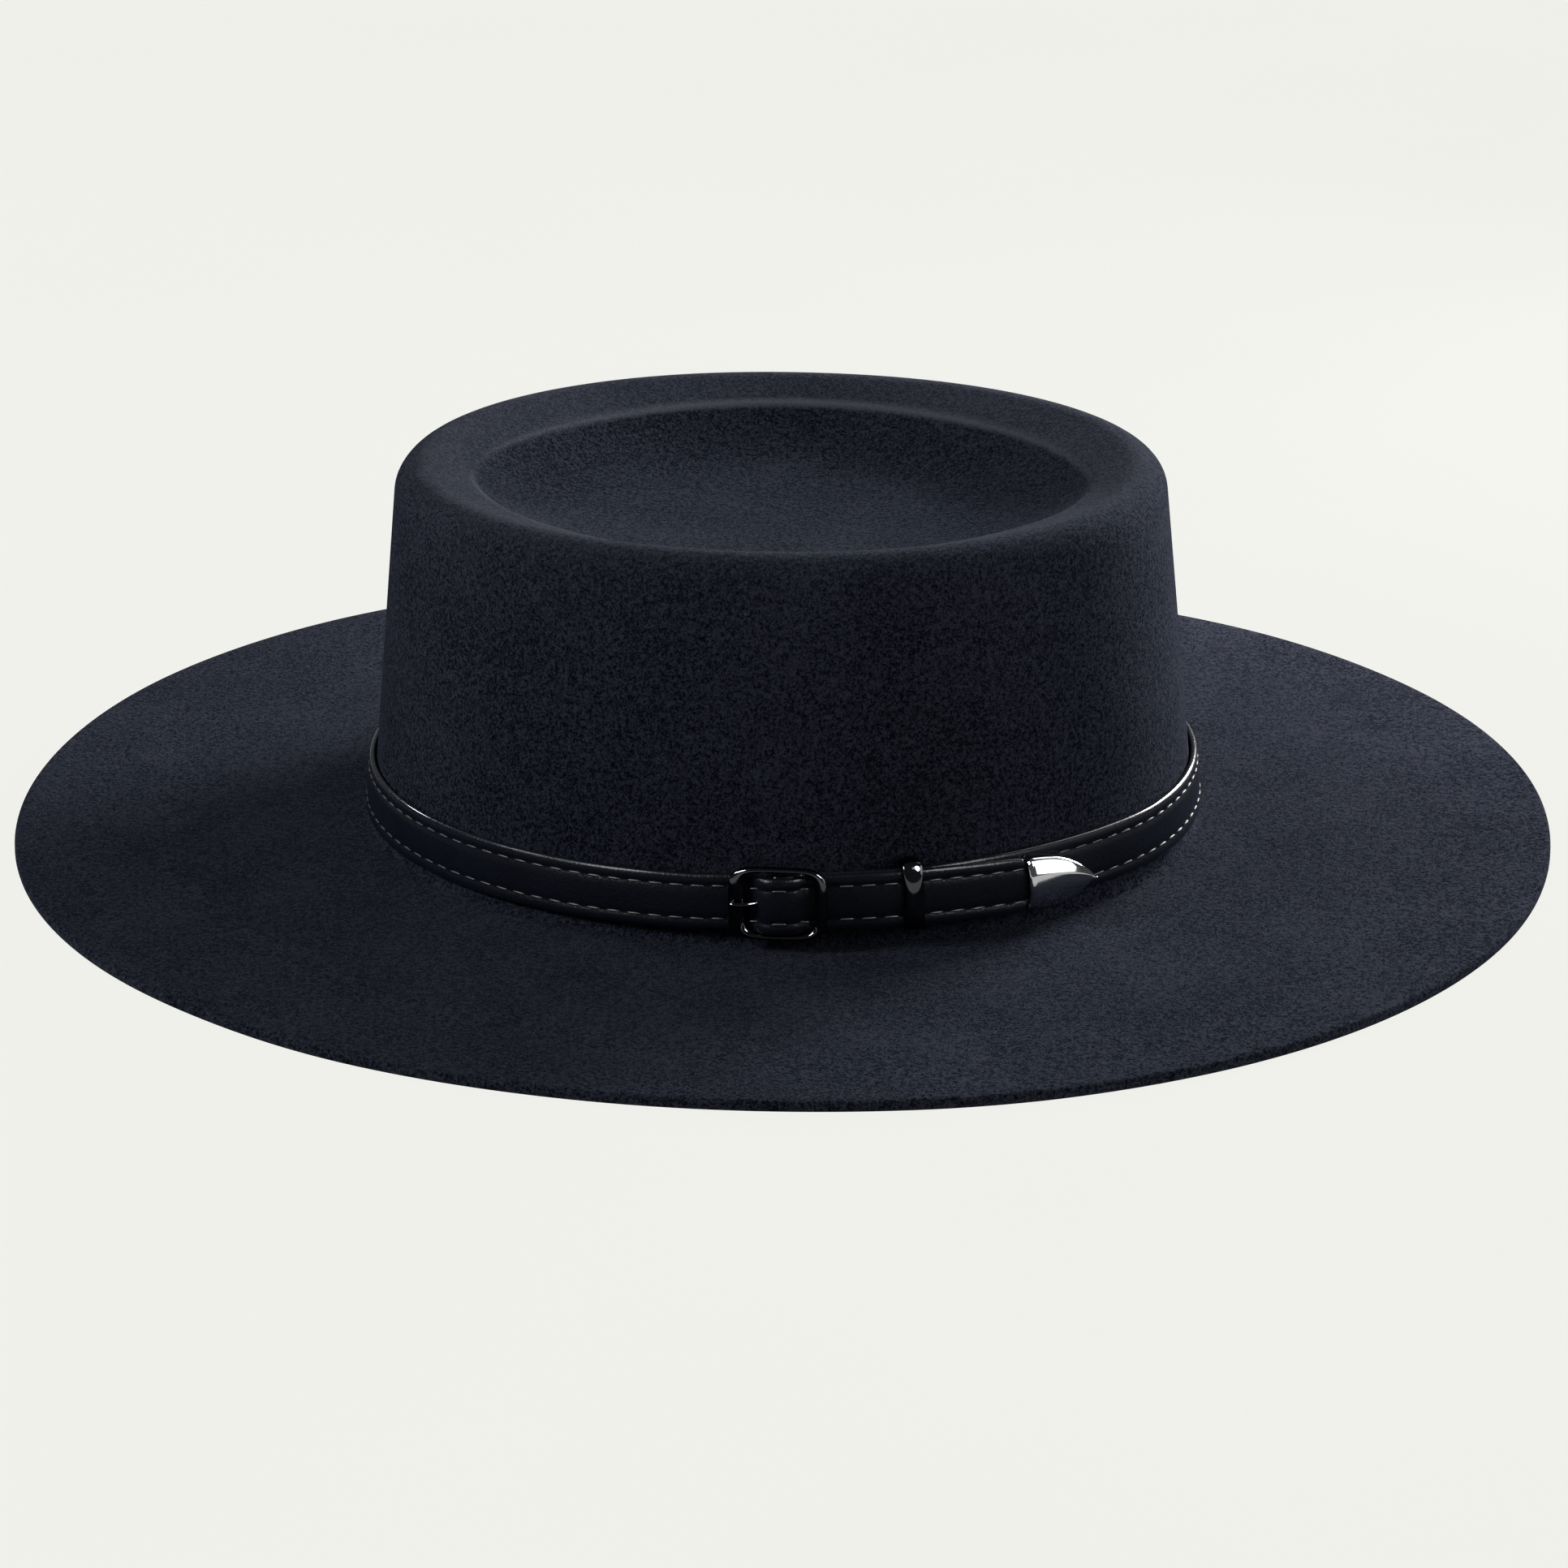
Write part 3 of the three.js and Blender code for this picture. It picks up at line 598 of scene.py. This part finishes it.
def buckle_prong(material):
    rows = rounded_rows([Vector(row) for row in PRONG_ROUTE], 2)
    around = 16

    def place(row, step):
        along, out, radius = rows[row]
        before = rows[max(row - 1, 0)]
        after = rows[min(row + 1, len(rows) - 1)]
        heading = Vector((after[0] - before[0], after[1] - before[1])).normalized()
        turn = 2 * math.pi * step / around
        deep, up = radius * math.sin(turn), radius * math.cos(turn)
        return on_wall(along - heading.y * deep, out + heading.x * deep, FRAME_SHIFT + up)

    bm = wrapped_grid(len(rows), around, place)
    upright = Matrix.Rotation(math.pi / 2, 4, "X")
    wire = bmesh.ops.create_circle(
        bm, segments=12, radius=PRONG_EYE_WIRE,
        matrix=Matrix.Translation((PRONG_EYE_RADIUS, 0, 0)) @ upright,
    )["verts"]
    edges = list(dict.fromkeys(edge for vert in wire for edge in vert.link_edges))
    bmesh.ops.spin(
        bm, geom=wire + edges, cent=(0, 0, 0), axis=(0, 0, 1), dvec=(0, 0, 0),
        angle=2 * math.pi, steps=32, use_merge=True, use_duplicate=False,
    )
    # The eye is made at the origin, far from the prong, and then put round the bar.
    eye = [vert for vert in bm.verts if vert.co.length < 2 * PRONG_EYE_RADIUS]
    round_bar = wall_matrix(BUCKLE_ALONG, BAR_OUT, FRAME_SHIFT) @ upright
    bmesh.ops.transform(bm, matrix=round_bar, verts=eye)
    bmesh.ops.recalc_face_normals(bm, faces=bm.faces)
    return finish_piece("buckle_prong_metal", bm, material, "buckle_prong")


# Keeper loop


# The section of the loop's wall: shares of its half width and of its thickness.
KEEPER_SECTION = [
    (-1, 0.04), (-0.9, 0), (0, 0), (0.9, 0), (1, 0.04), (1, 0.3), (0.94, 0.48), (0.82, 0.66),
    (0.65, 0.81), (0.42, 0.93), (0.18, 0.99), (-0.18, 0.99), (-0.42, 0.93), (-0.65, 0.81),
    (-0.82, 0.66), (-0.94, 0.48), (-1, 0.3),
]


def keeper_loop(material):
    around = 120

    def place(row, step):
        angle = 2 * math.pi * row / around
        inner = oval_point(KEEPER_HALF_DEPTH, KEEPER_HALF_OPENING, 9, angle)
        front = inner.x > 0
        wall_out = KEEPER_FRONT if front else KEEPER_WALL
        wall_up = KEEPER_TOP if inner.y > 0 else KEEPER_WALL
        outer = oval_point(
            KEEPER_HALF_DEPTH + wall_out, KEEPER_HALF_OPENING + wall_up, 2.9 if front else 7, angle
        )
        side, height = KEEPER_SECTION[step]
        flat = inner.lerp(outer, height)
        along = KEEPER_ALONG + side * KEEPER_WIDTH / 2 - KEEPER_LEAN * flat.y
        return on_wall(along, KEEPER_OUT + flat.x, KEEPER_SHIFT + flat.y)

    bm = wrapped_grid(around, len(KEEPER_SECTION), place, closed=True)
    return finish_piece("keeper_loop_metal", bm, material, "keeper_loop")


# Tip

# The tip's section: shares of its half height and of its front or back thickness. Its front has
# a steep facet over a nearly upright one over one that turns in.
TIP_SECTION = [
    (-0.08, 1.0), (0.04, 0.993), (0.34, 0.957), (0.4, 0.945), (0.46, 0.92), (0.66, 0.81), (0.86, 0.69),
    (0.94, 0.56), (0.985, 0.3), (1, 0), (1, -0.5), (0.97, -0.85), (0.9, -1), (0.4, -1), (0, -1), (-0.4, -1),
    (-0.9, -1), (-0.97, -0.85), (-1, -0.5), (-1, -0.3), (-0.985, -0.05), (-0.94, 0.16), (-0.86, 0.32),
    (-0.55, 0.66), (-0.2, 0.955),
]

# The pocket for the strap's end, from its floor to its mouth: depth, and share of its full size.
TIP_POCKET = [(4.5, 0), (4.5, 1), (0.3, 1), (0, 1.04)]


def strap_tip(material):
    lengths = [math.sin(share * math.pi / 2) for share in shares(36)]
    rows = TIP_POCKET + lengths

    def place(row, step):
        up, deep = TIP_SECTION[step]
        if row < len(TIP_POCKET):
            depth, reach = TIP_POCKET[row]
            half = (STRAP_END_WIDTH / 2 + TIP_POCKET_PLAY) * reach
            square = max(-1, min(1, deep * 3))
            out = TIP_OUT + TIP_POCKET_HALF_DEPTH * reach * square
            return on_wall(TIP_ALONG + depth, out, TIP_SHIFT + bowed(up, 8) * half)
        share = min(rows[row], 0.9999)
        half = TIP_HALF_HEIGHT * (1 - share ** 3)
        thin = 1 - 0.55 * share ** 2
        rim = smoothstep(0, 0.03, share) * 0.12 + 0.88
        middle = TIP_SHIFT - TIP_DROP * share ** 1.4
        out = TIP_OUT + deep * thin * rim * (TIP_FRONT if deep > 0 else TIP_BACK)
        return on_wall(TIP_ALONG + TIP_LENGTH * share, out, middle + up * half * rim)

    bm = wrapped_grid(len(rows), len(TIP_SECTION), place)
    return finish_piece("strap_tip_metal", bm, material, "strap_tip")


# Finishes


class Value:
    """A number or vector that varies over a surface, for Python to calculate with."""

    def __init__(self, finish, socket):
        self.finish = finish
        self.socket = socket

    def maths(self, operation, first, second):
        return self.finish.node("ShaderNodeMath", {"operation": operation}, {0: first, 1: second})

    def __add__(self, other):
        return self.maths("ADD", self, other)

    __radd__ = __add__

    def __sub__(self, other):
        return self.maths("SUBTRACT", self, other)

    def __rsub__(self, other):
        return self.maths("SUBTRACT", other, self)

    def __mul__(self, other):
        return self.maths("MULTIPLY", self, other)

    __rmul__ = __mul__

    def __gt__(self, other):
        return self.maths("GREATER_THAN", self, other)


class Finish:
    """A material, with one method that adds a node to it."""

    def __init__(self, name, **constants):
        self.material = bpy.data.materials.new(name)
        self.material.use_nodes = True
        self.tree = self.material.node_tree
        self.shader = self.tree.nodes["Principled BSDF"]
        self.set(self.shader, {key.replace("_", " "): value for key, value in constants.items()})

    def set(self, node, values):
        for key, value in values.items():
            if isinstance(value, Value):
                self.tree.links.new(value.socket, node.inputs[key])
            else:
                node.inputs[key].default_value = value

    def node(self, kind, settings=None, values=None, output=0):
        node = self.tree.nodes.new(kind)
        for key, setting in (settings or {}).items():
            setattr(node, key, setting)
        self.set(node, values or {})
        return Value(self, node.outputs[output])

    def place(self):
        return self.node("ShaderNodeTexCoord", output=3)

    def clouds(self, place, scale, detail=2, roughness=0.5):
        return self.node(
            "ShaderNodeTexNoise", None,
            {"Vector": place, "Scale": scale, "Detail": detail, "Roughness": roughness},
        )

    def cells(self, place, scale):
        return self.node("ShaderNodeTexVoronoi", None, {"Vector": place, "Scale": scale})

    def blend(self, share, low, high):
        return self.node("ShaderNodeMix", {"data_type": "RGBA"}, {0: share, 6: low, 7: high}, 2)

    def ramp(self, value, low, high):
        return self.node(
            "ShaderNodeMapRange", {"interpolation_type": "SMOOTHSTEP"},
            {"Value": value, "From Min": low, "From Max": high},
        )

    def bump(self, height, strength, distance):
        inputs = {"Height": height, "Strength": strength, "Distance": distance}
        return self.node("ShaderNodeBump", None, inputs)


def black_felt():
    finish = Finish(
        "black_felt", Roughness=0.9, Specular_IOR_Level=0.0, Sheen_Weight=0.02, Sheen_Roughness=0.4,
        Sheen_Tint=(0.8, 0.87, 1.0, 1),
    )
    place = finish.place()
    nap = finish.clouds(place, 1900, 3, 0.75)
    fuzz = finish.clouds(place, 900, 2, 0.6)
    patches = finish.clouds(place, 38, 3, 0.55)
    specks = finish.cells(place, 55)
    shade = 0.62 * nap + 0.3 * fuzz + 0.08 * patches
    light = finish.ramp(shade, 0.41, 0.6)
    colour = finish.blend(light, (0.0018, 0.0026, 0.0052, 1), (0.0225, 0.0245, 0.034, 1))
    # Painted highlight: the ridge and the rim get a paler felt colour that stands in for the sheen the
    # light puts on them.
    painted_sheen = finish.node("ShaderNodeAttribute", {"attribute_name": "painted_sheen"}, output=2)
    colour = finish.blend(painted_sheen * (0.4 + 0.5 * nap), colour, (0.07, 0.075, 0.092, 1))
    lint = (0.018 - specks) > 0
    colour = finish.blend(lint * 0.06, colour, (0.4, 0.42, 0.46, 1))
    height = 1.1 * nap + 0.8 * fuzz + 0.4 * patches
    finish.set(finish.shader, {"Base Color": colour, "Normal": finish.bump(height, 0.6, 0.0004)})
    return finish.material


def black_leather():
    """Grained leather, glossier where its edges are burnished."""
    finish = Finish("black_leather", Specular_IOR_Level=0.05, Coat_Roughness=0.1)
    place = finish.place()
    pores = finish.cells(place, 1500)
    grain = finish.clouds(place, 700, 4, 0.6)
    wear = finish.clouds(place, 90, 3)
    colour = finish.blend(wear, (0.0024, 0.0032, 0.006, 1), (0.0056, 0.007, 0.0115, 1))
    height = 0.6 * pores + 0.8 * grain
    finish.set(finish.shader, {
        "Base Color": colour,
        "Roughness": 0.2 + 0.2 * grain,
        "Coat Weight": finish.node("ShaderNodeAttribute", {"attribute_name": "burnish"}, output=2),
        "Normal": finish.bump(height, 0.32, 0.0002),
    })
    return finish.material


def waxed_thread():
    finish = Finish("waxed_thread", Specular_IOR_Level=0.25)
    place = finish.place()
    fibre = finish.clouds(place, 2600, 3, 0.6)
    colour = finish.blend(fibre, (0.003, 0.0034, 0.0045, 1), (0.009, 0.0096, 0.012, 1))
    finish.set(finish.shader, {
        "Base Color": colour,
        "Roughness": 0.35 + 0.2 * fibre,
        "Normal": finish.bump(fibre, 0.3, 0.0001),
    })
    return finish.material


def polished_metal(name, dark, light, dull):
    finish = Finish(name, Metallic=1.0)
    place = finish.place()
    film = finish.clouds(place, 240, 3)
    scuffs = finish.clouds(place, 1600, 4, 0.7)
    finish.set(finish.shader, {
        "Base Color": finish.blend(film, dark, light),
        "Roughness": dull + 0.03 * film + 0.015 * scuffs,
        "Normal": finish.bump(scuffs, 0.02, 0.0001),
    })
    return finish.material


def pale_floor():
    """An evenly lit pale floor: it glows a little, so the lamps on the hat hardly mark it."""
    finish = Finish("pale_floor", Roughness=0.9, Specular_IOR_Level=0.0, Emission_Strength=0.87)
    grain = finish.clouds(finish.place(), 9, 2)
    finish.set(finish.shader, {
        "Base Color": finish.blend(grain, (0.006, 0.006, 0.0057, 1), (0.0065, 0.0065, 0.0062, 1)),
        "Emission Color": finish.blend(grain, (0.98, 0.99, 0.94, 1), (1.0, 1.0, 0.955, 1)),
    })
    return finish.material


# Studio


def studio_floor():
    bm = bmesh.new()
    bmesh.ops.create_grid(bm, x_segments=1, y_segments=1, size=6)
    mesh = bpy.data.meshes.new("studio_floor")
    bm.to_mesh(mesh)
    bm.free()
    mesh.materials.append(pale_floor())
    floor = bpy.data.objects.new("studio_floor", mesh)
    bpy.context.scene.collection.objects.link(floor)


def soft_light(name, watts, wide, tall, place, colour, shine_only=False):
    light = bpy.data.lights.new(name, "AREA")
    light.shape = "ELLIPSE"
    light.size = wide
    light.size_y = tall
    light.energy = watts
    light.color = colour
    lamp = bpy.data.objects.new(name, light)
    lamp.location = place
    lamp.rotation_euler = (Vector((0, 0, 0.04)) - Vector(place)).to_track_quat("-Z", "Y").to_euler()
    lamp.visible_camera = False
    lamp.visible_diffuse = not shine_only
    bpy.context.scene.collection.objects.link(lamp)


def studio_light():
    soft_light("key_light", 13, 0.3, 0.3, (0.38, 0.44, 0.25), (1.0, 0.98, 0.95))
    soft_light("near_light", 0.7, 0.3, 0.3, (0.25, 0.22, 0.42), (1.0, 0.98, 0.96))
    soft_light("side_card", 5, 0.85, 0.75, (0.98, -0.15, 0.38), (0.97, 0.98, 1.0))
    soft_light("left_light", 3, 0.2, 0.1, (-0.8, 0.35, 0.5), (0.95, 0.97, 1.0))
    soft_light("left_fill", 12, 0.3, 0.3, (-1.0, -0.42, 0.7), (0.92, 0.96, 1.0))
    soft_light("right_fill", 1, 0.3, 0.3, (0.75, -0.9, 0.9), (0.92, 0.96, 1.0))
    soft_light("left_strip", 45, 0.4, 0.7, (-0.8, -0.95, 0.85), (1.0, 1.0, 1.0), True)
    soft_light("right_strip", 45, 0.4, 0.7, (0.95, -0.8, 0.85), (1.0, 1.0, 1.0), True)
    soft_light("back_strip", 10, 1.1, 0.25, (-0.1, 0.9, 0.9), (1.0, 1.0, 1.0), True)
    world = bpy.data.worlds.new("studio_air")
    world.use_nodes = True
    air = world.node_tree.nodes["Background"]
    air.inputs["Color"].default_value = (0.93, 0.96, 1.0, 1)
    air.inputs["Strength"].default_value = 0.1
    bpy.context.scene.world = world


# The photograph's view: angles in radians, distances in metres
CAMERA_HEIGHT = 0.36734
CAMERA_TURN = 0.13902
CAMERA_ROLL = 0.005928
CAMERA_DISTANCE = 1.15
CAMERA_TARGET = (0.00039, 0.008)
CAMERA_LENS = 106.3


def photo_camera():
    turn = Vector((math.cos(CAMERA_TURN), math.sin(CAMERA_TURN), 0))
    back = Vector((
        math.sin(CAMERA_TURN) * math.cos(CAMERA_HEIGHT),
        -math.cos(CAMERA_TURN) * math.cos(CAMERA_HEIGHT),
        math.sin(CAMERA_HEIGHT),
    ))
    upward = back.cross(turn)
    cosine, sine = math.cos(CAMERA_ROLL), math.sin(CAMERA_ROLL)
    right = turn * cosine - upward * sine
    up = turn * sine + upward * cosine
    across, height = CAMERA_TARGET
    target = turn * across + Vector((0, 0, height))
    data = bpy.data.cameras.new("photo_camera")
    data.lens = CAMERA_LENS
    data.sensor_width = 36
    data.clip_start = 0.05
    camera = bpy.data.objects.new("photo_camera", data)
    camera.matrix_world = (
        Matrix.Translation(target + back * CAMERA_DISTANCE)
        @ Matrix((right, up, back)).transposed().to_4x4()
    )
    bpy.context.scene.collection.objects.link(camera)
    bpy.context.scene.camera = camera


photo_camera()
studio_floor()
studio_light()

black_nickel = polished_metal("black_nickel", (0.045, 0.045, 0.05, 1), (0.06, 0.06, 0.066, 1), 0.03)
bright_nickel = polished_metal("bright_nickel", (0.42, 0.42, 0.44, 1), (0.5, 0.5, 0.52, 1), 0.04)
leather = black_leather()

felt_body(black_felt())
strap_piece(leather)
stitches(waxed_thread())
buckle_frame(black_nickel)
buckle_prong(black_nickel)
keeper_loop(black_nickel)
strap_tip(bright_nickel)

bpy.context.scene.view_settings.view_transform = "Standard"
